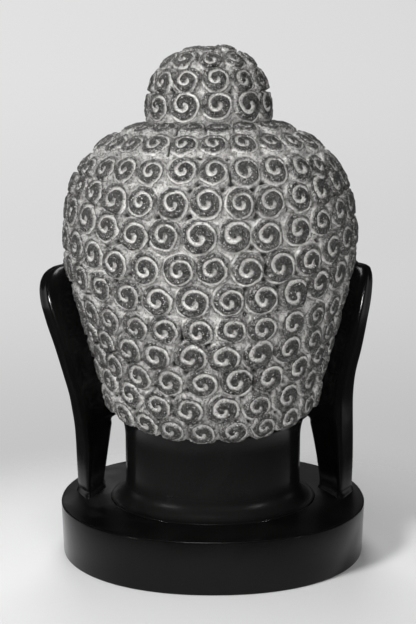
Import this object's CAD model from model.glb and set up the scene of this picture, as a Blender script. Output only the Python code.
"""Looks of the stone Buddha head: rough grey curls, polished black stone elsewhere, a pale studio."""

import math

import bmesh
import bpy
import numpy as np
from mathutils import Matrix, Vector, noise


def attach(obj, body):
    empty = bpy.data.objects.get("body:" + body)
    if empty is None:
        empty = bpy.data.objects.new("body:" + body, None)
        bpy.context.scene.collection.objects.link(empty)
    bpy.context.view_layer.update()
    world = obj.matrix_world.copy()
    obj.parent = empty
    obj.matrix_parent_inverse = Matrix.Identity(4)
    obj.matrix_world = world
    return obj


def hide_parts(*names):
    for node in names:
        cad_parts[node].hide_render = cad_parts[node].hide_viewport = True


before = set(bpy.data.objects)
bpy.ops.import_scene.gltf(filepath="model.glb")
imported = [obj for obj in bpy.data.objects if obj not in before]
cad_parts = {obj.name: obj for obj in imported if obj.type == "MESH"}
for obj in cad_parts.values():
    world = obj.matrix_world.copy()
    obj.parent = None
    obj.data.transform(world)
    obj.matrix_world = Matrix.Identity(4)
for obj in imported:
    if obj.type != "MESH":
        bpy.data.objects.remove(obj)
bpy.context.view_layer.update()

# The forms' sizes, in metres, as in the part. Heights are above the plinth's top.
PLINTH_WIDTH = 0.281
PLINTH_DEPTH = 0.283
PLINTH_HEIGHT = 0.047
PLINTH_UNDERCUT = 0.0015
PLINTH_POWER = 2.13
NECK_RADIUS = 0.081
NECK_FOOT_FLARE = 0.013
NECK_TOP_FLARE = 0.008
NECK_HEIGHT = 0.080
UNDERSIDE_ARCH = 0.009
ARCH_DEPTH = 0.035
HEAD_HALF_WIDTH = 0.1275
HEAD_BACK = 0.127
HEAD_FRONT = 0.118
WIDEST = 0.233
CROWN = 0.3445
NAPE = 0.0715
CHIN = 0.0535
HEAD_LEAN = math.radians(0.65)
DOME_POWER = 2.72
UNDER_POWER = 16
TOPKNOT_HALF_WIDTH = 0.0525
TOPKNOT_LEVEL = 0.341
TOPKNOT_TOP = 0.4065
TOPKNOT_FOOT = 0.326
TOPKNOT_POWER = 2.6
# Rows of curls: degrees above the widest level, degrees more towards the ears, count round the
# whole head, and a shift in pitches.
CURL_ROWS = (
    (57.5, 0, 18, 0.10), (45.3, 0, 23, -0.20), (33.0, 0, 27, -0.15), (21.1, 6, 28, -0.40),
    (9.5, 8, 28, -0.20), (-2.6, 8, 28, 0.40), (-14.1, 8, 27, -0.50), (-24.9, 4, 27, 0.40),
    (-34.4, 3, 25, -0.40), (-43.0, 4, 24, -0.25), (-51.4, 6, 23, -0.35),
)
HAIRLINE_PITCH = 0.0235
NAPE_PITCH = 0.0262
CURL_RELIEF = 0.0048
# Rows on the topknot: distance up its skin from its widest level, count, and a shift in pitches.
TOPKNOT_ROWS = ((0.0185, 12, 0.22), (0.0395, 12, 0.24), (0.0605, 10, 0.41), (0.0815, 5, 0.0))
FACE_HALF_WIDTH = 0.098
FACE_TOP = 0.250
# Levels of the features, as shares of the face's height.
BROW = 0.665
EYE = 0.575
NOSE_BASE = 0.345
MOUTH = 0.232
# The ears, level by level: height, then how far the outer, back and inner edges stand past the
# plinth's side.
EAR_LEFT = (
    (-0.003, -0.0139, -0.0258, -0.037), (0.004, -0.0137, -0.0258, -0.037), (0.028, -0.0127, -0.0256, -0.04),
    (0.05, -0.0119, -0.0255, -0.0432), (0.062, -0.011, -0.0243, -0.0449),
    (0.0695, -0.0101, -0.0235, -0.0463), (0.0745, -0.0093, -0.0227, -0.0565),
    (0.092, -0.0063, -0.0197, -0.0585), (0.11, -0.0014, -0.0139, -0.0585),
    (0.137, 0.0064, -0.0071, -0.0565), (0.164, 0.015, 0.0011, -0.0545), (0.182, 0.0195, 0.0065, -0.0525),
    (0.192, 0.0202, 0.0083, -0.0505), (0.2, 0.0187, 0.0081, -0.0485), (0.2055, 0.0155, 0.0065, -0.047),
    (0.2092, 0.0109, 0.0039, -0.0455), (0.2117, 0.0055, 0.0007, -0.0435),
    (0.2132, -0.001, -0.0029, -0.0415),
)
EAR_RIGHT = (
    (-0.003, -0.0099, -0.0233, -0.038), (0.004, -0.0095, -0.0233, -0.0385),
    (0.028, -0.0088, -0.0235, -0.0415), (0.05, -0.0089, -0.024, -0.0455),
    (0.062, -0.0091, -0.0246, -0.0481), (0.069, -0.0093, -0.0249, -0.0499),
    (0.074, -0.0094, -0.0253, -0.0585), (0.092, -0.0094, -0.0255, -0.0585),
    (0.11, -0.0079, -0.0236, -0.0585), (0.137, -0.002, -0.0161, -0.0565), (0.164, 0.0029, -0.0095, -0.0545),
    (0.182, 0.0061, -0.0058, -0.0525), (0.192, 0.0073, -0.0037, -0.0505), (0.201, 0.0077, -0.0019, -0.0485),
    (0.2075, 0.0067, -0.0011, -0.047), (0.2115, 0.0045, -0.0019, -0.0455),
    (0.2134, 0.0005, -0.0043, -0.0435), (0.2147, -0.0055, -0.0081, -0.0415),
)
# The same edges' places from front to back: height, then y of the front, outer, back and inner edges.
EAR_DEPTHS = (
    (-0.003, -0.044, -0.012, 0.0138, -0.02), (0.04, -0.046, -0.012, 0.0132, -0.02),
    (0.09, -0.05, -0.012, 0.011, -0.018), (0.137, -0.054, -0.0125, 0.008, -0.016),
    (0.16, -0.055, -0.013, 0.0055, -0.015), (0.175, -0.056, -0.0145, 0.0025, -0.0155),
    (0.188, -0.0555, -0.0175, -0.002, -0.0175), (0.198, -0.054, -0.0205, -0.007, -0.0205),
    (0.207, -0.051, -0.0235, -0.0135, -0.0235), (0.212, -0.048, -0.0255, -0.0185, -0.026),
    (0.2155, -0.043, -0.028, -0.024, -0.028),
)
# The front edge: height, and how far it stands past the plinth's side.
EAR_FRONTS = (
    (-0.003, -0.0275), (0.04, -0.0305), (0.08, -0.0345), (0.11, -0.0385), (0.15, -0.0415), (0.182, -0.0395),
    (0.203, -0.0345), (0.2155, -0.0285),
)
EAR_HOLLOW = 0.008
EAR_HOLLOW_SPAN = (0.112, 0.140, 0.188, 0.204)
EAR_LOBE_HOLLOW = 0.004
EAR_LOBE_SPAN = (0.018, 0.040, 0.084, 0.108)
EAR_CROWN = 0.003
EAR_LIP = 0.007
EAR_LIP_GAP = 0.003
EAR_LIP_SET_BACK = 0.005
EAR_ROUNDING = 0.0008
EAR_FOOT_HEIGHT = 0.006
EAR_FOOT_FLARE = 0.003
HEAD_CENTRE = np.array((0.0, 0.0, PLINTH_HEIGHT + WIDEST))
KNOT_CENTRE = np.array((0.0, 0.0, PLINTH_HEIGHT + TOPKNOT_LEVEL))
# The head below its widest level: share of the way down to the nape, and share of the full size.
SIDE_PROFILE = (
    (0.0, 1.0), (0.1, 0.984), (0.25, 0.934), (0.5, 0.846), (0.75, 0.771), (1.0, 0.715), (1.12, 0.69),
)
BACK_PROFILE = (
    (0.0, 1.0), (0.2, 0.988), (0.4, 0.945), (0.6, 0.874), (0.8, 0.797), (1.0, 0.713), (1.12, 0.67),
)
FRONT_PROFILE = ((0.0, 1.0), (0.3, 1.0), (0.55, 0.985), (0.8, 0.955), (1.0, 0.915), (1.12, 0.83))
JAW_NARROWING = ((0.0, 0.0), (0.3, 0.05), (0.5, 0.12), (0.8, 0.22), (1.0, 0.29), (1.12, 0.34))
# The hair's lower edge: degrees round from the back, and height.
HAIR_EDGE = (
    (0, 0.0710), (20, 0.0735), (34, 0.0770), (50, 0.0815), (60, 0.0860), (70, 0.0890), (96, 0.0880),
    (102, 0.1000), (105, 0.190), (108, 0.203), (115, 0.199), (124, 0.213), (140, 0.238), (158, 0.251),
    (170, 0.251), (180, 0.247),
)

# Carving of the curls that the solids leave out. CURL_SIZE is a share of the pitch.
CURL_SIZE = 0.57
GROOVE_DEPTH = 0.0027
RIDGE_RISE = 0.0006
SLIT_DEPTH = 0.0024
VALLEY_RISE = 0.0005
CHISEL_RELIEF = 0.0004
LUMP_RELIEF = 0.0003
HAND_WANDER = 0.0007
SPIRAL_TURNS = 1.75
SPIRAL_START = math.radians(-95)
# A random draw below the first leaves a slit between two curls. Three draws that sum to less than
# the second leave a hole where three curls meet.
OPEN_PAIR = 0.13
OPEN_CORNER = 1.45

HAIR_FINE, HAIR_QUICK = 172, 120
TOPKNOT_FINE, TOPKNOT_QUICK = 84, 60
FACE_FINE, FACE_QUICK = 130, 80
PLINTH_SIDES = 220
NECK_SIDES = 180
PLINTH_EDGE = 0.0014

# The camera, measured from the middle of the plinth's top in pixels of a picture PICTURE_HEIGHT
# high. CAMERA_ASIDE is in metres, and SENSOR in millimetres.
METRES_PER_PIXEL = 0.000942
CAMERA_AWAY = 1300
CAMERA_RISE = 392
CAMERA_ASIDE = 0.0045
CAMERA_TILT = math.radians(9.15)
FOCAL_LENGTH = 1354
PICTURE_HEIGHT = 624
SENSOR = 36

# The surround seen by the camera, from below level upwards, and how it lightens across.
SURROUND_TONES = ((0.06, 0.74), (0.27, 0.54), (0.56, 0.675), (0.84, 0.735))
SURROUND_LEVELS = (-0.40, 0.10)
SURROUND_SIDES = (-0.15, 0.15)
SURROUND_ACROSS = (0.955, 1.03)
SURROUND_ELSEWHERE = (0.03, 0.03, 0.031, 1)
FLOOR_RINGS = (0.05, 0.3, 0.6, 1.0, 1.6)
FLOOR_SIDES = 96
FLOOR_FADE = (0.16, 0.42)


def curve(points, at):
    """A smooth curve through a few points, held at its end values beyond them."""
    where = np.array([p[0] for p in points], float)
    value = np.array([p[1] for p in points], float)
    slope = np.gradient(value, where)
    at = np.clip(at, where[0], where[-1])
    i = np.clip(np.searchsorted(where, at) - 1, 0, len(where) - 2)
    width = where[i + 1] - where[i]
    t = (at - where[i]) / width
    start = (2 * t**3 - 3 * t**2 + 1) * value[i] + (t**3 - 2 * t**2 + t) * width * slope[i]
    end = (3 * t**2 - 2 * t**3) * value[i + 1] + (t**3 - t**2) * width * slope[i + 1]
    return start + end


def ramp(at, low, high):
    """0 below low, 1 above high, and smooth between them."""
    t = np.clip((at - low) / (high - low), 0, 1)
    return t * t * (3 - 2 * t)


def bump(at, centre, width):
    """A bell of height 1."""
    return np.exp(-(((at - centre) / width) ** 2))


def unit(vectors):
    return vectors / np.linalg.norm(vectors, axis=-1, keepdims=True)


def head_level(points):
    """Below 1 inside the plain head, 1 on its skin. Points are measured from HEAD_CENTRE."""
    x, y, z = points.T
    drop = np.clip(-z / (WIDEST - NAPE), 0, 1.12)
    forward = np.clip(-y / HEAD_FRONT, 0, 1)
    half_width = HEAD_HALF_WIDTH * curve(SIDE_PROFILE, drop)
    half_width = half_width * (1 - curve(JAW_NARROWING, drop) * forward)
    back = HEAD_BACK * curve(BACK_PROFILE, drop)
    front = HEAD_FRONT * curve(FRONT_PROFILE, drop)
    section = np.hypot(x / half_width, y / np.where(y > 0, back, front))
    under = NAPE + (CHIN - NAPE) * ramp(-y, 0.25 * HEAD_FRONT, 0.75 * HEAD_FRONT)
    under = under + UNDERSIDE_ARCH * bump(y, 0, ARCH_DEPTH)
    closing = np.where(z > 0, z / (CROWN - WIDEST), -z / (WIDEST - under))
    power = np.where(z > 0, DOME_POWER, UNDER_POWER)
    return (section**power + closing**power) ** (1 / power)


def knot_level(points):
    """The same for the topknot. Points are measured from KNOT_CENTRE."""
    x, y, z = points.T
    section = np.hypot(x, y) / TOPKNOT_HALF_WIDTH
    foot = TOPKNOT_LEVEL - TOPKNOT_FOOT
    closing = np.where(z > 0, z / (TOPKNOT_TOP - TOPKNOT_LEVEL), -z / foot)
    power = np.where(z > 0, TOPKNOT_POWER, UNDER_POWER)
    return (section**power + closing**power) ** (1 / power)


def skin(level, directions):
    """Where rays from the form's centre meet its skin."""
    near = np.zeros(len(directions))
    far = np.full(len(directions), 0.26)
    for _ in range(22):
        middle = (near + far) / 2
        inside = level(directions * middle[:, None]) < 1
        near = np.where(inside, middle, near)
        far = np.where(inside, far, middle)
    return directions * near[:, None]


def normals(level, points):
    """Outward unit normals of a form's skin."""
    step = 1e-4
    shifts = np.eye(3) * step
    return unit(np.stack([level(points + s) - level(points - s) for s in shifts], axis=-1))


def direction(from_back, elevation):
    """Unit rays at these angles round from the back and above level."""
    flat = np.cos(elevation)
    return np.stack([np.sin(from_back) * flat, np.cos(from_back) * flat, np.sin(elevation)], axis=-1)


def ring_of_curls(level, elevation_at, count, shift):
    """Rays to the evenly spaced curls of one row, and the row's pitch."""
    turn = np.radians(np.linspace(-180, 180, 721))
    points = skin(level, direction(turn, elevation_at(turn)))
    steps = np.linalg.norm(np.diff(points, axis=0), axis=1)
    arc = np.concatenate([[0], np.cumsum(steps)])
    places = (np.arange(count) + 0.5 + shift) / count * arc[-1]
    angles = np.interp(np.mod(places, arc[-1]), arc, turn)
    return direction(angles, elevation_at(angles)), arc[-1] / count


def hair_edge(from_back):
    """Height of the hair's lower edge at these angles."""
    return curve(HAIR_EDGE, np.degrees(np.abs(from_back)))


def azimuth(directions):
    """Angles round from the back."""
    return np.arctan2(directions[:, 0], directions[:, 1])


def edge_rays(turn, height):
    """Rays that meet the head's skin at these angles and heights."""
    guess = skin(head_level, direction(turn, np.zeros(len(turn))))
    reach = np.linalg.norm(guess, axis=1)
    for _ in range(4):
        flat = np.stack([np.sin(turn), np.cos(turn), height / reach], axis=-1)
        found = skin(head_level, unit(flat))
        reach = np.hypot(found[:, 0], found[:, 1])
    return unit(flat)


def hairline_curls():
    """The row along the hair's edge over the forehead."""
    turn = np.radians(np.linspace(109, 251, 400))
    height = hair_edge(np.pi - np.abs(np.pi - turn)) + 0.5 * HAIRLINE_PITCH - WIDEST
    points = skin(head_level, edge_rays(turn, height))
    steps = np.linalg.norm(np.diff(points, axis=0), axis=1)
    arc = np.concatenate([[0], np.cumsum(steps)])
    count = round(arc[-1] / HAIRLINE_PITCH)
    places = (np.arange(count) + 0.5) / count * arc[-1]
    return edge_rays(np.interp(places, arc, turn), np.interp(places, arc, height))


def nape_curls():
    """The row along the hair's edge at the nape."""
    turn = np.radians(np.linspace(-97, 97, 400))
    height = hair_edge(turn) + 0.40 * NAPE_PITCH - WIDEST
    points = skin(head_level, edge_rays(turn, height))
    steps = np.linalg.norm(np.diff(points, axis=0), axis=1)
    arc = np.concatenate([[0], np.cumsum(steps)]) - steps.sum() / 2
    count = int(arc[-1] / NAPE_PITCH)
    places = (np.arange(-count, count) + 0.3) * NAPE_PITCH
    return edge_rays(np.interp(places, arc, turn), np.interp(places, arc, height))


def head_curls():
    """The two edge rows, and every other row where it keeps clear of them."""
    hairline, nape = hairline_curls(), nape_curls()
    found = [hairline, nape]
    pitches = [np.full(len(hairline), HAIRLINE_PITCH), np.full(len(nape), NAPE_PITCH)]
    fringe, fringe_pitch = skin(head_level, np.concatenate(found)), np.concatenate(pitches)
    for elevation, rise, count, shift in CURL_ROWS:

        def elevation_at(turn, elevation=elevation, rise=rise):
            around = np.degrees(np.abs(turn))
            sideways = ramp(around, 20, 75) * (1 - ramp(around, 95, 145))
            return np.radians(elevation + rise * sideways)

        ring, pitch = ring_of_curls(head_level, elevation_at, count, shift)
        points = skin(head_level, ring)
        above = points[:, 2] + WIDEST - hair_edge(azimuth(ring))
        apart = (np.linalg.norm(points[:, None] - fringe[None], axis=2) / fringe_pitch).min(axis=1)
        kept = ring[(above > 0.3 * pitch) & (apart > 0.72)]
        found.append(kept)
        pitches.append(np.full(len(kept), pitch))
    return np.concatenate(found), np.concatenate(pitches)


def knot_curls():
    fan = np.radians(np.linspace(0, 90, 400))
    points = skin(knot_level, direction(np.zeros(len(fan)), fan))
    arc = np.concatenate([[0], np.cumsum(np.linalg.norm(np.diff(points, axis=0), axis=1))])
    found, pitches = [], []
    for place, count, shift in TOPKNOT_ROWS:
        elevation = np.interp(place, arc, fan)

        def elevation_at(turn, elevation=elevation):
            return np.full(np.shape(turn), elevation)

        ring, pitch = ring_of_curls(knot_level, elevation_at, count, shift)
        found.append(ring)
        pitches.append(np.full(count, pitch))
    return np.concatenate(found), np.concatenate(pitches)


def tangents(vectors):
    """Level and upward unit directions across each of these vectors."""
    level = unit(np.cross(vectors, (0.0, 1e-6, 1.0)) + (1e-9, 0, 0))
    return level, np.cross(level, vectors)


def wobble(points, scale, seed):
    """Smooth noise of about -1 to 1 at each point."""
    shift = Vector((seed * 1.37, seed * 2.11, seed * 0.73))
    return np.array([noise.noise(Vector(p) * scale + shift) for p in points]) * 1.6


def three_nearest(points, centres, reach):
    """The three centres nearest to each point, in order, and their distances as shares of their reach."""
    gap = points[:, None, :] - centres[None, :, :]
    far = np.einsum("ijk,ijk->ij", gap, gap) / reach**2
    order = np.argpartition(far, 2, axis=1)[:, :3]
    three = np.take_along_axis(far, order, axis=1)
    ranked = np.argsort(three, axis=1)
    return np.take_along_axis(order, ranked, axis=1), np.sqrt(np.take_along_axis(three, ranked, axis=1))


def carve_curls(level, points, curls, pitches, seed):
    """Heights and marks of the snail-shell carving at these skin points."""
    rng = np.random.default_rng(seed)
    centres = skin(level, curls)
    facing = normals(level, centres)
    side, up = tangents(facing)
    side = -side
    start = SPIRAL_START + rng.normal(0, 0.30, len(curls))
    turns = SPIRAL_TURNS + rng.normal(0, 0.16, len(curls))
    size = CURL_SIZE * (1 + rng.normal(0, 0.035, len(curls)))
    wander = rng.normal(0, 0.0006, (len(curls), 2))
    proud = 1 + rng.normal(0, 0.10, len(curls))
    luck = rng.random((len(curls), len(curls)))
    luck = np.minimum(luck, luck.T)
    lucky = rng.random(len(curls))
    hand_a = wobble(points, 120, seed) * HAND_WANDER
    hand_b = wobble(points, 120, seed + 5) * HAND_WANDER
    chisel = wobble(points, 330, seed + 9)
    lumps = wobble(points, 130, seed + 13)
    names = ("groove", "ridge", "edge", "rim", "core", "slit")
    marks = {name: np.zeros(len(points)) for name in names}
    height = np.zeros(len(points))
    block = 20000
    for low in range(0, len(points), block):
        part = slice(low, low + block)
        order, three = three_nearest(points[part], centres, pitches * size / CURL_SIZE)
        nearest, other, third = order.T
        valley = three[:, 1] - three[:, 0]
        corner = three[:, 2] - three[:, 0]
        gap = points[part] - centres[nearest]
        a = np.einsum("ij,ij->i", gap, side[nearest]) - wander[nearest, 0] + hand_a[part]
        b = np.einsum("ij,ij->i", gap, up[nearest]) - wander[nearest, 1] + hand_b[part]
        rho = np.hypot(a, b) / (size[nearest] * pitches[nearest])
        turn = np.arctan2(a, b) - start[nearest]
        phase = turns[nearest] * np.clip(rho, 0, 1.2) ** 1.45 - turn / (2 * np.pi)
        phase = np.abs(phase - np.round(phase))
        inside = 1 - ramp(rho, 0.90, 0.99)
        wide = 0.33 + 0.02 * ramp(rho, 0.15, 0.75)
        groove = ramp(phase, wide, wide + 0.09) * inside * ramp(rho, 0.03, 0.14)
        edge = bump(phase, wide - 0.035, 0.06) * inside * ramp(rho, 0.06, 0.2)
        ridge = 1 - ramp(phase, wide - 0.08, wide + 0.02)
        wall = ramp(valley, 0.0, 0.14) * (1 - ramp(rho, 0.93, 1.10))
        dome = 0.28 + 0.80 * np.sqrt(np.clip(1 - (rho / 1.08) ** 2, 0, 1))
        apart = centres[other] - centres[nearest]
        level_pair = np.abs(apart[:, 2]) < 0.36 * np.linalg.norm(apart, axis=1)
        open_pair = luck[nearest, other] < OPEN_PAIR
        slit = (1 - ramp(valley, 0.03, 0.09)) * level_pair * open_pair * ramp(-b, -0.006, 0.004)
        holed = lucky[nearest] + lucky[other] + lucky[third] < OPEN_CORNER
        slit = np.maximum(slit, (1 - ramp(corner, 0.06, 0.20)) * holed)
        cut = GROOVE_DEPTH * groove * (1 - 0.35 * ramp(rho, 0.3, 0.95))
        crest = RIDGE_RISE * ridge * inside
        rise = CURL_RELIEF * proud[nearest] * wall * dome + crest - cut - SLIT_DEPTH * slit
        rough = CHISEL_RELIEF * chisel[part] + LUMP_RELIEF * lumps[part]
        height[part] = rise + VALLEY_RISE * (1 - wall) + rough
        marks["groove"][part] = groove
        marks["ridge"][part] = ridge * inside
        marks["edge"][part] = edge
        marks["rim"][part] = ramp(rho, 0.76, 0.90)
        marks["core"][part] = 1 - ramp(rho, 0.30, 0.75)
        marks["slit"][part] = slit
    return height, marks


def face_relief(x, z):
    """How far the face stands forward of the plain head, at x and at a height above HEAD_CENTRE."""
    u = np.abs(x) / FACE_HALF_WIDTH
    v = (z + WIDEST - CHIN) / (FACE_TOP - CHIN)
    brow_arch = 0.035 * np.sin(np.pi * np.clip((u - 0.08) / 0.85, 0, 1))
    brow_line = BROW + brow_arch - 0.07 * np.clip(u - 0.55, 0, 1)
    below_brow = ramp(brow_line - v, -0.006, 0.030) * (1 - ramp(EYE - v, 0.0, 0.12))
    socket = 0.0075 * below_brow * ramp(u, 0.04, 0.18) * (1 - ramp(u, 0.60, 0.88))
    ball = 1 - ((u - 0.40) / 0.27) ** 2 - ((v - EYE) / 0.062) ** 2
    lid = 0.0085 * np.sqrt(np.clip(ball, 0, 1))
    along = np.clip((BROW - v) / (BROW - NOSE_BASE), 0, 1)
    ridge = ramp(v, NOSE_BASE - 0.012, NOSE_BASE + 0.020) * (1 - ramp(v, BROW - 0.05, BROW + 0.09))
    nose_half = 0.075 + 0.060 * along**2
    nose = (0.0060 + 0.0165 * along) * ridge * np.exp(-((u / nose_half) ** 2.4))
    wing = 0.0085 * np.exp(-(((u - 0.145) / 0.060) ** 2) - ((v - NOSE_BASE - 0.024) / 0.028) ** 2)
    mouth_line = MOUTH + 0.016 * np.clip(u / 0.27, 0, 1.2) ** 2
    width = 1 - ramp(u, 0.10, 0.31)
    upper = 0.0052 * np.exp(-(((v - mouth_line - 0.022) / 0.022) ** 2)) * width
    lower = 0.0062 * np.exp(-(((v - mouth_line + 0.027) / 0.024) ** 2)) * (1 - ramp(u, 0.08, 0.26))
    muzzle = 0.0045 * bump(u, 0, 0.30) * bump(v, MOUTH, 0.10)
    chin = 0.0070 * bump(u, 0, 0.24) * bump(v, 0.085, 0.065)
    cheek = 0.0035 * bump(u, 0.52, 0.26) * bump(v, 0.36, 0.15)
    return lid - socket + nose + wing + upper + lower + muzzle + chin + cheek


def geodesic(frequency):
    """Unit directions and triangles of a finely divided icosahedron."""
    t = (1 + 5**0.5) / 2
    corners = unit(np.array([
        (-1, t, 0), (1, t, 0), (-1, -t, 0), (1, -t, 0), (0, -1, t), (0, 1, t),
        (0, -1, -t), (0, 1, -t), (t, 0, -1), (t, 0, 1), (-t, 0, -1), (-t, 0, 1),
    ], float))
    faces = (
        (0, 11, 5), (0, 5, 1), (0, 1, 7), (0, 7, 10), (0, 10, 11), (1, 5, 9), (5, 11, 4), (11, 10, 2),
        (10, 7, 6), (7, 1, 8), (3, 9, 4), (3, 4, 2), (3, 2, 6), (3, 6, 8), (3, 8, 9), (4, 9, 5),
        (2, 4, 11), (6, 2, 10), (8, 6, 7), (9, 8, 1),
    )
    n = frequency
    i, j = np.meshgrid(np.arange(n + 1), np.arange(n + 1), indexing="ij")
    keep = i + j <= n
    i, j = i[keep], j[keep]
    index = np.full((n + 2, n + 2), -1)
    index[i, j] = np.arange(len(i))
    a = index[i, j]
    right, above, across = index[i + 1, j], index[i, j + 1], index[i + 1, j + 1]
    first = (i + j) < n
    second = (i + j) < n - 1
    local = np.concatenate([
        np.stack([a[first], right[first], above[first]], axis=1),
        np.stack([right[second], across[second], above[second]], axis=1),
    ])
    every, triangles = [], []
    for count, (p, q, r) in enumerate(faces):
        k = (n - i - j)[:, None]
        every.append(unit(corners[p] * k + corners[q] * i[:, None] + corners[r] * j[:, None]))
        triangles.append(local + count * len(i))
    every = np.concatenate(every)
    triangles = np.concatenate(triangles)
    keys = np.round(every * 1e6).astype(np.int64)
    _, where, back = np.unique(keys, axis=0, return_index=True, return_inverse=True)
    return every[where], back.reshape(-1)[triangles]


def build(name, points, faces, smooth=True):
    """A mesh object in the scene."""
    data = bpy.data.meshes.new(name)
    data.from_pydata([tuple(p) for p in points], [], [tuple(f) for f in faces])
    data.update()
    data.polygons.foreach_set("use_smooth", [smooth] * len(data.polygons))
    made = bpy.data.objects.new(name, data)
    bpy.context.scene.collection.objects.link(made)
    return made


def patch(name, points, triangles, kept, marks, apex):
    """A closed piece: the kept triangles of a star-shaped form, drawn in to a point inside it."""
    triangles = triangles[kept]
    edges = np.concatenate([triangles[:, [0, 1]], triangles[:, [1, 2]], triangles[:, [2, 0]]])
    keys = edges[:, 0].astype(np.int64) * len(points) + edges[:, 1]
    flipped = edges[:, 1].astype(np.int64) * len(points) + edges[:, 0]
    border = edges[~np.isin(keys, flipped)]
    used = np.unique(triangles)
    renumber = np.full(len(points), -1)
    renumber[used] = np.arange(len(used))
    faces = renumber[triangles]
    border = renumber[border]
    fan = np.stack([border[:, 1], border[:, 0], np.full(len(border), len(used))], axis=1)
    made = build(name, np.concatenate([points[used], [apex]]), np.concatenate([faces, fan]))
    data = made.data
    for label, values in marks.items():
        layer = data.attributes.new(label, "FLOAT", "POINT")
        layer.data.foreach_set("value", np.concatenate([values[used], [0]]).astype(np.float32))
    if len(border):
        wanted = set(map(tuple, np.sort(border, axis=1)))
        sharp = data.attributes.new("sharp_edge", "BOOLEAN", "EDGE")
        ends = np.zeros(len(data.edges) * 2, np.int64)
        data.edges.foreach_get("vertices", ends)
        ends = np.sort(ends.reshape(-1, 2), axis=1)
        sharp.data.foreach_set("value", [tuple(e) in wanted for e in ends])
    return made


def leaned(points):
    """The head leans a little to its own left about the plinth's top."""
    height = points[:, 2] - PLINTH_HEIGHT
    x = points[:, 0] * math.cos(HEAD_LEAN) + height * math.sin(HEAD_LEAN)
    z = height * math.cos(HEAD_LEAN) - points[:, 0] * math.sin(HEAD_LEAN)
    return np.stack([x, points[:, 1], z + PLINTH_HEIGHT], axis=1)


def make_hair():
    """The head's curls, in two back pieces and a front piece. Beside the ears, strokes take their place."""
    rays, triangles = geodesic(HAIR_FINE)
    on_skin = skin(head_level, rays)
    outward = normals(head_level, on_skin)
    curls, pitches = head_curls()
    height, marks = carve_curls(head_level, on_skin, curls, pitches, 3)
    around = np.abs(azimuth(rays))
    above = on_skin[:, 2] + WIDEST - hair_edge(around)
    edge = ramp(above, -0.0006, 0.0020)
    height = (height + 0.0006) * edge - 0.0016 * (1 - edge)
    beside = ramp(around, math.radians(78), math.radians(90)) * (1 - ramp(on_skin[:, 2] + WIDEST, 0.13, 0.17))
    beside = beside * (around < math.radians(103))
    strokes = 0.0022 + wobble(on_skin * (1, 1, 0.3), 330, 21) * 0.0018
    height = height * (1 - beside) + strokes * edge * beside
    marks = {label: values * (1 - beside) for label, values in marks.items()}
    marks["groove"] = np.maximum(marks["groove"], beside * ramp(strokes, 0.0024, 0.0036))
    marks["ridge"] = np.maximum(marks["ridge"], beside * (1 - ramp(strokes, 0.0006, 0.0022)))
    points = leaned(on_skin + outward * height[:, None] + HEAD_CENTRE)
    marks["depth"] = height
    shown = (above > -0.003)[triangles].all(axis=1)
    middle = azimuth(rays[triangles].mean(axis=1))
    back = np.abs(middle) < math.radians(101)
    apex = leaned(HEAD_CENTRE[None])[0]
    made = [patch("hair_back_left", points, triangles, shown & back & (middle > 0), marks, apex)]
    made.append(patch("hair_back_right", points, triangles, shown & back & (middle <= 0), marks, apex))
    made.append(patch("hair_front", points, triangles, shown & ~back, marks, apex))
    return made


def make_topknot():
    """The topknot with its own rows of curls, set into the crown."""
    rays, triangles = geodesic(TOPKNOT_FINE)
    on_skin = skin(knot_level, rays)
    outward = normals(knot_level, on_skin)
    curls, pitches = knot_curls()
    height, marks = carve_curls(knot_level, on_skin, curls, pitches, 8)
    fade = ramp(rays[:, 2], -0.12, -0.02)
    height = height * fade
    marks["depth"] = height
    points = leaned(on_skin + outward * height[:, None] + KNOT_CENTRE)
    apex = leaned(KNOT_CENTRE[None])[0]
    return [patch("topknot", points, triangles, (rays[:, 2] > -0.35)[triangles].all(axis=1), marks, apex)]


def make_face():
    """The smooth front of the head, drawn in a little where the hair covers it."""
    rays, triangles = geodesic(FACE_FINE)
    on_skin = skin(head_level, rays)
    outward = normals(head_level, on_skin)
    forward = ramp(-on_skin[:, 1], 0.15 * HEAD_FRONT, 0.5 * HEAD_FRONT)
    relief = face_relief(on_skin[:, 0], on_skin[:, 2]) * forward
    around = np.abs(azimuth(rays))
    above = on_skin[:, 2] + WIDEST - hair_edge(around)
    under_hair = ramp(above, 0.0005, 0.003)
    points = on_skin.copy()
    points[:, 1] -= relief
    points -= outward * (0.002 * under_hair)[:, None]
    points = leaned(points + HEAD_CENTRE)
    shown = (above < 0.007)[triangles].any(axis=1)
    return [patch("face", points, triangles, shown, {}, leaned(HEAD_CENTRE[None])[0])]


def loft(name, loops):
    """A closed piece through these loops, which have as many points each."""
    count = len(loops[0])
    points = np.concatenate(loops)
    faces = []
    for k in range(len(loops) - 1):
        for i in range(count):
            j = (i + 1) % count
            faces.append((k * count + i, k * count + j, (k + 1) * count + j, (k + 1) * count + i))
    faces.append(tuple(range(count))[::-1])
    faces.append(tuple(range((len(loops) - 1) * count, len(loops) * count)))
    made = build(name, points, faces)
    mesh = bmesh.new()
    mesh.from_mesh(made.data)
    bmesh.ops.recalc_face_normals(mesh, faces=mesh.faces)
    mesh.to_mesh(made.data)
    mesh.free()
    return made


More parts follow.
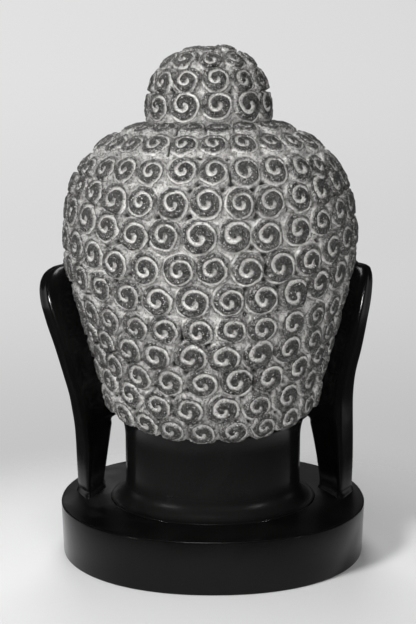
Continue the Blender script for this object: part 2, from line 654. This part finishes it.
def make_plinth():
    """A thick plate, drawn in a little towards its underside. Levels: height, and growth in plan."""
    turn = np.radians(np.arange(PLINTH_SIDES) * 360 / PLINTH_SIDES)
    cos, sin = np.cos(turn), np.sin(turn)
    plan_x = np.sign(cos) * np.abs(cos) ** (2 / PLINTH_POWER)
    plan_y = np.sign(sin) * np.abs(sin) ** (2 / PLINTH_POWER)
    edge = PLINTH_EDGE
    levels = [(0.0, -PLINTH_UNDERCUT - edge)]
    for k in range(5):
        angle = math.radians(22.5 * k)
        levels.append((edge * (1 - math.cos(angle)), -PLINTH_UNDERCUT - edge * (1 - math.sin(angle))))
    levels.append((PLINTH_HEIGHT * 0.5, -PLINTH_UNDERCUT * 0.5))
    for k in range(6):
        angle = math.radians(18 * k)
        levels.append((PLINTH_HEIGHT - edge * (1 - math.sin(angle)), -edge * (1 - math.cos(angle))))
    for inset in (0.004, 0.012, 0.03, 0.06):
        levels.append((PLINTH_HEIGHT, -inset))
    loops = []
    for z, grow in levels:
        x = plan_x * (PLINTH_WIDTH / 2 + grow)
        y = plan_y * (PLINTH_DEPTH / 2 + grow)
        loops.append(np.stack([x, y, np.full(PLINTH_SIDES, z)], axis=1))
    return loft("plinth", loops)


def make_neck():
    """A round neck on a fillet. Rows: height, flare all round, and flare at the sides and back alone."""
    profile = [(-0.002, NECK_FOOT_FLARE + 0.0012, 0), (0.0002, NECK_FOOT_FLARE + 0.0012, 0)]
    profile += [(0.0007, NECK_FOOT_FLARE + 0.0008, 0), (0.0009, NECK_FOOT_FLARE + 0.0002, 0)]
    for k in range(1, 13):
        angle = math.radians(7.5 * k)
        rise = 0.0009 + NECK_FOOT_FLARE * (1 - math.cos(angle))
        profile.append((rise, NECK_FOOT_FLARE * (1 - math.sin(angle)), 0))
    profile.append((0.035, 0, 0))
    for k in range(9):
        angle = math.radians(11.25 * k)
        drop = 3 * NECK_TOP_FLARE * (1 - math.sin(angle))
        profile.append((NECK_HEIGHT - drop, 0, NECK_TOP_FLARE * (1 - math.cos(angle))))
    profile.append((NECK_HEIGHT + 0.004, 0, NECK_TOP_FLARE))
    profile.append((NECK_HEIGHT + 0.026, -0.026, 0))
    turn = np.radians(np.arange(NECK_SIDES) * 360 / NECK_SIDES)
    back = ramp(np.sin(turn), -0.6, -0.1)
    loops = []
    for height, flare, top_flare in profile:
        radius = NECK_RADIUS + flare + top_flare * back
        level = np.full(NECK_SIDES, PLINTH_HEIGHT + height)
        loops.append(np.stack([radius * np.cos(turn), radius * np.sin(turn), level], axis=1))
    return loft("neck", loops)


def ear_outline(row):
    """One level of an ear, from the front edge round by the outer, back and inner edges."""
    height = row[0]
    outer, back, inner = (PLINTH_WIDTH / 2 + beyond for beyond in row[1:])
    depths = [curve([(r[0], r[k]) for r in EAR_DEPTHS], height) for k in range(1, 5)]
    front_x = PLINTH_WIDTH / 2 + float(curve(EAR_FRONTS, height))
    front_y, outer_y, back_y, inner_y = (float(d) for d in depths)
    front = np.array((front_x, front_y))
    rim = np.array((outer, outer_y))
    rear = np.array((back, back_y))
    inside = np.array((inner, inner_y))
    lip_x = min(front_x - EAR_LIP, max(inner, NECK_RADIUS) + EAR_LIP_GAP)
    lip = np.array((lip_x, front_y + EAR_LIP_SET_BACK))
    outline = []
    facing = rim - front
    inward = np.array((-facing[1], facing[0])) / np.hypot(*facing)
    hollows = []
    for depth, span in ((EAR_HOLLOW, EAR_HOLLOW_SPAN), (EAR_LOBE_HOLLOW, EAR_LOBE_SPAN)):
        hollows.append(depth * ramp(height, span[0], span[1]) * (1 - ramp(height, span[2], span[3])))
    for t in (0.0, 0.12, 0.25, 0.40, 0.60, 0.75, 0.88, 1.0):
        window = float(ramp(t, 0.10, 0.30) * (1 - ramp(t, 0.68, 0.86)))
        crown = EAR_CROWN * math.sin(math.pi * t)
        outline.append(front + facing * t + inward * (float(sum(hollows)) * window - crown))
    outline.append(rim + (rear - rim) * 0.5 + EAR_ROUNDING)
    outline.extend([rear, rear + (inside - rear) * 0.35, rear + (inside - rear) * 0.7, inside])
    outline.append((inside + lip) / 2)
    outline.append(lip)
    return np.array(outline)


def make_ear(name, rows, side):
    """An ear lofted from its levels, closer together at the foot and the top, with each outline rounded."""
    top = rows[-1][0]
    low, middle = np.linspace(-0.002, 0.008, 9), np.linspace(0.010, 0.190, 74)
    high = 0.190 + (top - 0.190) * np.sin(np.radians(np.linspace(5, 90, 20)))
    heights = np.concatenate([low, middle, high])
    columns = [curve([(r[0], r[k]) for r in rows], heights) for k in (1, 2, 3)]
    loops = []
    for height, outer, back, inner in zip(heights, *columns):
        corners = ear_outline((float(height), float(outer), float(back), float(inner)))
        fine = []
        for i in range(len(corners)):
            a, b, c, d = (corners[(i + k) % len(corners)] for k in (-1, 0, 1, 2))
            for t in (0, 0.2, 0.4, 0.6, 0.8):
                fine.append(0.5 * (
                    2 * b + (c - a) * t + (2 * a - 5 * b + 4 * c - d) * t**2 + (3 * b - a - 3 * c + d) * t**3
                ))
        fine = np.array(fine)
        if height < EAR_FOOT_HEIGHT:
            spread = fine - fine.mean(axis=0)
            flare = EAR_FOOT_FLARE * (1 - max(float(height), 0) / EAR_FOOT_HEIGHT) ** 2
            fine = fine + spread * flare / np.linalg.norm(spread, axis=1).mean()
        level = np.full(len(fine), PLINTH_HEIGHT + float(height))
        loops.append(np.stack([side * fine[:, 0], fine[:, 1], level], axis=1))
    last = loops[-1]
    centre = last.mean(axis=0)
    for angle in np.radians((25, 50, 75)):
        closed = centre + (last - centre) * (1 - 0.15 * (1 - math.cos(angle)), math.cos(angle), 1)
        loops.append(closed + (0, 0, 0.0016 * math.sin(angle)))
    return loft(name, loops)


class Nodes:
    """Short names for building a node material."""

    def __init__(self, name):
        self.material = bpy.data.materials.new(name)
        self.material.use_nodes = True
        self.tree = self.material.node_tree
        self.shader = self.tree.nodes["Principled BSDF"]
        self.place = self.tree.nodes.new("ShaderNodeTexCoord").outputs["Object"]

    def put(self, socket, value):
        if isinstance(value, bpy.types.NodeSocket):
            self.tree.links.new(value, socket)
        else:
            socket.default_value = value

    def mark(self, name):
        node = self.tree.nodes.new("ShaderNodeAttribute")
        node.attribute_name = name
        return node.outputs["Fac"]

    def noise(self, scale, detail=4, rough=0.6, warp=0.0):
        node = self.tree.nodes.new("ShaderNodeTexNoise")
        self.put(node.inputs["Vector"], self.place)
        node.inputs["Scale"].default_value = scale
        node.inputs["Detail"].default_value = detail
        node.inputs["Roughness"].default_value = rough
        node.inputs["Distortion"].default_value = warp
        return node.outputs["Fac"]

    def math(self, kind, a, b=0.0, clamp=False):
        node = self.tree.nodes.new("ShaderNodeMath")
        node.operation = kind
        node.use_clamp = clamp
        self.put(node.inputs[0], a)
        self.put(node.inputs[1], b)
        return node.outputs[0]

    def split(self, vector):
        node = self.tree.nodes.new("ShaderNodeSeparateXYZ")
        self.put(node.inputs[0], vector)
        return node.outputs

    def length(self, vector):
        node = self.tree.nodes.new("ShaderNodeVectorMath")
        node.operation = "LENGTH"
        self.put(node.inputs[0], vector)
        return node.outputs["Value"]

    def span(self, value, low, high, to_low=0.0, to_high=1.0, kind="LINEAR"):
        node = self.tree.nodes.new("ShaderNodeMapRange")
        node.interpolation_type = kind
        self.put(node.inputs["Value"], value)
        for label, number in (("From Min", low), ("From Max", high), ("To Min", to_low), ("To Max", to_high)):
            node.inputs[label].default_value = number
        return node.outputs["Result"]

    def mix(self, share, a, b):
        node = self.tree.nodes.new("ShaderNodeMix")
        node.data_type = "RGBA"
        self.put(node.inputs[0], share)
        self.put(node.inputs[6], a if isinstance(a, bpy.types.NodeSocket) else (*a, 1))
        self.put(node.inputs[7], b if isinstance(b, bpy.types.NodeSocket) else (*b, 1))
        return node.outputs[2]

    def relief(self, height, distance, strength=1.0, under=None):
        node = self.tree.nodes.new("ShaderNodeBump")
        node.inputs["Strength"].default_value = strength
        node.inputs["Distance"].default_value = distance
        self.put(node.inputs["Height"], height)
        if under is not None:
            self.put(node.inputs["Normal"], under)
        return node.outputs["Normal"]


def grey(level):
    """A stone grey, a little warmer than neutral."""
    return (level, level * 0.985, level * 0.955)


def hair_stone():
    """Chiselled stone: dark rubbed bands, powdery light grooves and outlines, black slits and pits."""
    n = Nodes("carved_hair")
    groove, ridge, edge = n.mark("groove"), n.mark("ridge"), n.mark("edge")
    rim, core, slit = n.mark("rim"), n.mark("core"), n.mark("slit")
    fine = n.noise(760, 3, 0.75)
    mottle = n.noise(270, 4, 0.7, 0.5)
    streak = n.noise(430, 2, 0.6, 1.5)
    broad = n.noise(20, 3, 0.5)

    # Light ground, and on it each curl's dark band, darkest at the heart and fading at the rim.
    plain = n.mix(n.span(mottle, 0.38, 0.55), grey(0.20), grey(0.64))
    band = n.mix(n.span(mottle, 0.44, 0.62), grey(0.014), grey(0.17))
    band = n.mix(n.math("MULTIPLY", n.span(streak, 0.58, 0.64), 0.8), band, grey(0.62))
    band = n.mix(n.math("MULTIPLY", core, 0.75), band, grey(0.012))
    band = n.mix(n.math("MULTIPLY", rim, 0.85), band, plain)
    colour = n.mix(n.math("MULTIPLY", ridge, 0.95), plain, band)
    colour = n.mix(n.math("MULTIPLY", edge, n.span(fine, 0.25, 0.55, 0.5, 1.0)), colour, grey(0.014))

    # Powder in the grooves, black in the pits, slits and nicks, and light flecks over all.
    powder = n.math("MULTIPLY", groove, n.span(fine, 0.28, 0.55, 0.45, 1.0))
    colour = n.mix(powder, colour, grey(0.84))
    deep = n.span(n.mark("depth"), -0.0001, 0.0011, 1.0, 0.0)
    pit = n.math("MULTIPLY", deep, n.span(n.noise(75, 2), 0.56, 0.64), True)
    colour = n.mix(n.math("MULTIPLY", pit, 0.9), colour, grey(0.02))
    colour = n.mix(n.math("MULTIPLY", slit, 0.95), colour, grey(0.006))
    speck = n.span(n.noise(560, 2, 0.6, 0.8), 0.60, 0.65)
    speck = n.math("MULTIPLY", speck, n.span(rim, 0.2, 0.9, 0.9, 0.5))
    colour = n.mix(speck, colour, grey(0.012))
    nick = n.span(n.noise(310, 2, 0.5, 3.0), 0.57, 0.61)
    nick = n.math("MULTIPLY", nick, n.span(groove, 0.2, 0.8, 0.92, 0.35))
    nick = n.math("MULTIPLY", nick, n.span(rim, 0.1, 0.8, 1.0, 0.35))
    colour = n.mix(nick, colour, grey(0.010))
    fleck = n.span(n.noise(640, 2, 0.6, 0.5), 0.65, 0.70, 0.0, 0.8)
    colour = n.mix(fleck, colour, grey(0.88))
    colour = n.mix(n.span(broad, 0.38, 0.7, 0.0, 0.22), colour, grey(0.10))
    n.put(n.shader.inputs["Base Color"], colour)

    n.put(n.shader.inputs["Roughness"], n.span(mottle, 0.3, 0.7, 0.5, 0.9))
    n.shader.inputs["Specular IOR Level"].default_value = 0.2
    rough = n.math("ADD", n.math("MULTIPLY", mottle, 0.6), n.math("MULTIPLY", streak, 0.4))
    under = n.relief(rough, 0.0028, 1.0)
    n.put(n.shader.inputs["Normal"], n.relief(fine, 0.0012, 0.9, under))
    return n.material


def polished_stone():
    """Black stone rubbed smooth, with faint clouds and a dry film where the cloth didn't reach."""
    n = Nodes("polished_black_stone")
    cloud = n.noise(14, 4, 0.6, 0.4)
    grain = n.noise(700, 3, 0.6)
    up = n.split(n.tree.nodes.new("ShaderNodeNewGeometry").outputs["True Normal"])
    where = n.split(n.place)
    flat = n.span(up["Z"], 0.7, 0.98)

    # Dry film lies on the plinth's top near the left ear's foot.
    level = n.math("MULTIPLY", flat, n.span(where["X"], 0.03, 0.08, 0.08, 0.9))
    level = n.math("MULTIPLY", level, n.span(where["Y"], -0.01, 0.05, 1.0, 0.25))
    reach = n.math("ADD", level, 0.06)
    film = n.math("MULTIPLY", n.span(n.noise(15, 4, 0.65, 1.6), 0.48, 0.68), reach)
    film = n.math("MULTIPLY", film, n.span(n.noise(150, 3, 0.6, 2.0), 0.30, 0.62, 0.55, 1.0))

    # The neck is a little greyer than the rest, and the fillet at its foot is dull.
    plan = n.tree.nodes.new("ShaderNodeVectorMath")
    plan.operation = "MULTIPLY"
    n.put(plan.inputs[0], n.place)
    plan.inputs[1].default_value = (1, 1, 0)
    out = n.length(plan.outputs[0])
    foot = n.span(where["Z"], PLINTH_HEIGHT + 0.001, PLINTH_HEIGHT + 0.026, 1.0, 0.0)
    foot = n.math("MULTIPLY", foot, n.span(out, 0.0925, 0.094, 1.0, 0.0))
    colour = n.mix(n.span(cloud, 0.3, 0.7), grey(0.0015), grey(0.0031))
    colour = n.mix(n.span(out, 0.088, 0.096, 0.35, 0.0), colour, grey(0.011))
    colour = n.mix(film, colour, grey(0.022))
    n.put(n.shader.inputs["Base Color"], colour)

    smear = n.math("ADD", n.math("MULTIPLY", cloud, 0.08), n.math("MULTIPLY", film, 0.20))
    dull = n.math("MAXIMUM", n.math("MULTIPLY", flat, 0.6), foot)
    smear = n.math("ADD", smear, n.math("MULTIPLY", dull, 0.26))
    n.put(n.shader.inputs["Roughness"], n.math("ADD", smear, 0.13))
    n.shader.inputs["Specular IOR Level"].default_value = 0.20
    n.put(n.shader.inputs["Normal"], n.relief(grain, 0.00004, 0.15))
    return n.material


def make_floor():
    """Pale paper that fades out into the surround."""
    rings = [[(r * math.cos(k * 2 * math.pi / FLOOR_SIDES), r * math.sin(k * 2 * math.pi / FLOOR_SIDES), 0.0)
              for k in range(FLOOR_SIDES)] for r in FLOOR_RINGS]
    quads = []
    for r in range(len(FLOOR_RINGS) - 1):
        near, far = r * FLOOR_SIDES, (r + 1) * FLOOR_SIDES
        for k in range(FLOOR_SIDES):
            after = (k + 1) % FLOOR_SIDES
            quads.append((near + k, near + after, far + after, far + k))
    floor = build("floor", sum(rings, []), quads + [tuple(range(FLOOR_SIDES))], False)
    n = Nodes("paper_floor")
    n.put(n.shader.inputs["Base Color"], n.mix(n.noise(3, 2), (0.77, 0.77, 0.772), (0.79, 0.79, 0.792)))
    n.shader.inputs["Roughness"].default_value = 0.75
    n.put(n.shader.inputs["Alpha"], n.span(n.length(n.place), *FLOOR_FADE, 1.0, 0.0, "SMOOTHSTEP"))
    floor.data.materials.append(n.material)


def make_surround():
    """A pale surround that only the camera sees. Other rays meet a dark grey, so lamps shape the stone."""
    world = bpy.data.worlds.new("studio")
    bpy.context.scene.world = world
    world.use_nodes = True
    tree = world.node_tree
    split = tree.nodes.new("ShaderNodeSeparateXYZ")
    tree.links.new(tree.nodes.new("ShaderNodeTexCoord").outputs["Generated"], split.inputs[0])

    def spread(axis, ends, to=(0.0, 1.0)):
        node = tree.nodes.new("ShaderNodeMapRange")
        tree.links.new(split.outputs[axis], node.inputs["Value"])
        for label, number in zip(("From Min", "From Max", "To Min", "To Max"), ends + to):
            node.inputs[label].default_value = number
        return node.outputs["Result"]

    shade = tree.nodes.new("ShaderNodeValToRGB")
    shade.color_ramp.interpolation = "EASE"
    tree.links.new(spread("Z", SURROUND_LEVELS), shade.inputs["Fac"])
    while len(shade.color_ramp.elements) < len(SURROUND_TONES):
        shade.color_ramp.elements.new(0.5)
    for stop, (at, level) in zip(shade.color_ramp.elements, SURROUND_TONES):
        stop.position = at
        stop.color = (level, level, level, 1)
    blend = tree.nodes.new("ShaderNodeVectorMath")
    blend.operation = "SCALE"
    tree.links.new(shade.outputs["Color"], blend.inputs[0])
    tree.links.new(spread("X", SURROUND_SIDES, SURROUND_ACROSS), blend.inputs["Scale"])
    mix = tree.nodes.new("ShaderNodeMix")
    mix.data_type = "RGBA"
    mix.inputs[6].default_value = SURROUND_ELSEWHERE
    tree.links.new(blend.outputs[0], mix.inputs[7])
    tree.links.new(tree.nodes.new("ShaderNodeLightPath").outputs["Is Camera Ray"], mix.inputs[0])
    tree.links.new(mix.outputs[2], tree.nodes["Background"].inputs["Color"])


def lamp(name, place, target, size, energy, tall=None):
    """An area lamp aimed at a point, square unless it is given a height."""
    light = bpy.data.lights.new(name, "AREA")
    light.energy = energy
    light.size = size
    if tall:
        light.shape = "RECTANGLE"
        light.size_y = tall
    made = bpy.data.objects.new(name, light)
    bpy.context.scene.collection.objects.link(made)
    made.location = place
    aim = Vector(target) - Vector(place)
    made.rotation_euler = aim.to_track_quat("-Z", "Y").to_euler()
    return made


def make_lamps():
    """Soft lamps that only light, then lamps that only shine in the polished stone, then the face's own."""
    lamp("key", (1.2, 1.25, 1.30), (0, 0, 0.20), 0.42, 39.5).visible_glossy = False
    lamp("overhead", (0.0, 0.3, 2.3), (0, 0, 0.2), 1.2, 5).visible_glossy = False
    lamp("fill", (-0.35, 2.0, 0.42), (0, 0, 0.2), 1.2, 37).visible_glossy = False
    for side, window_glow, strip_glow in ((1, 0.95, 0.576), (-1, 0.55, 0.408)):
        window = lamp("window", (1.75 * side, -0.95, 0.05), (0, 0, 0.15), 1.0, window_glow, 0.6)
        window.visible_diffuse = False
        strip = lamp("strip", (1.8 * side, 1.0, 0.66), (0.15 * side, 0, 0.27), 0.55, strip_glow, 0.22)
        strip.visible_diffuse = False
        strip.data.spread = math.radians(9)
    lamp("edge_light", (0.15, 0.4, 2.1), (0, 0, 0.1), 0.45, 12).visible_diffuse = False
    lamp("face_side", (0.1, -1.6, 1.9), (0, 0, 0.25), 0.9, 23)


def make_camera():
    """The photo's view, from behind and a little above."""
    lens = bpy.data.cameras.new("camera")
    camera = bpy.data.objects.new("camera", lens)
    bpy.context.scene.collection.objects.link(camera)
    away = CAMERA_AWAY * METRES_PER_PIXEL
    camera.location = (CAMERA_ASIDE, away, CAMERA_RISE * METRES_PER_PIXEL + PLINTH_HEIGHT)
    camera.rotation_euler = (math.pi / 2 - CAMERA_TILT, 0, math.pi)
    lens.sensor_width = SENSOR
    lens.lens = SENSOR * FOCAL_LENGTH / PICTURE_HEIGHT
    lens.clip_start = 0.01
    bpy.context.scene.camera = camera


hair = hair_stone()
polished = polished_stone()
rough_pieces = make_hair() + make_topknot()
smooth_pieces = make_face() + [make_neck(), make_plinth()]
smooth_pieces += [make_ear("ear_left", EAR_LEFT, 1), make_ear("ear_right", EAR_RIGHT, -1)]
for piece in rough_pieces:
    piece.data.materials.append(hair)
for piece in smooth_pieces:
    piece.data.materials.append(polished)
for piece in rough_pieces + smooth_pieces:
    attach(piece, "root")
    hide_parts("buddha_head")
make_floor()
make_surround()
make_lamps()
make_camera()
bpy.context.scene.view_settings.view_transform = "Standard"

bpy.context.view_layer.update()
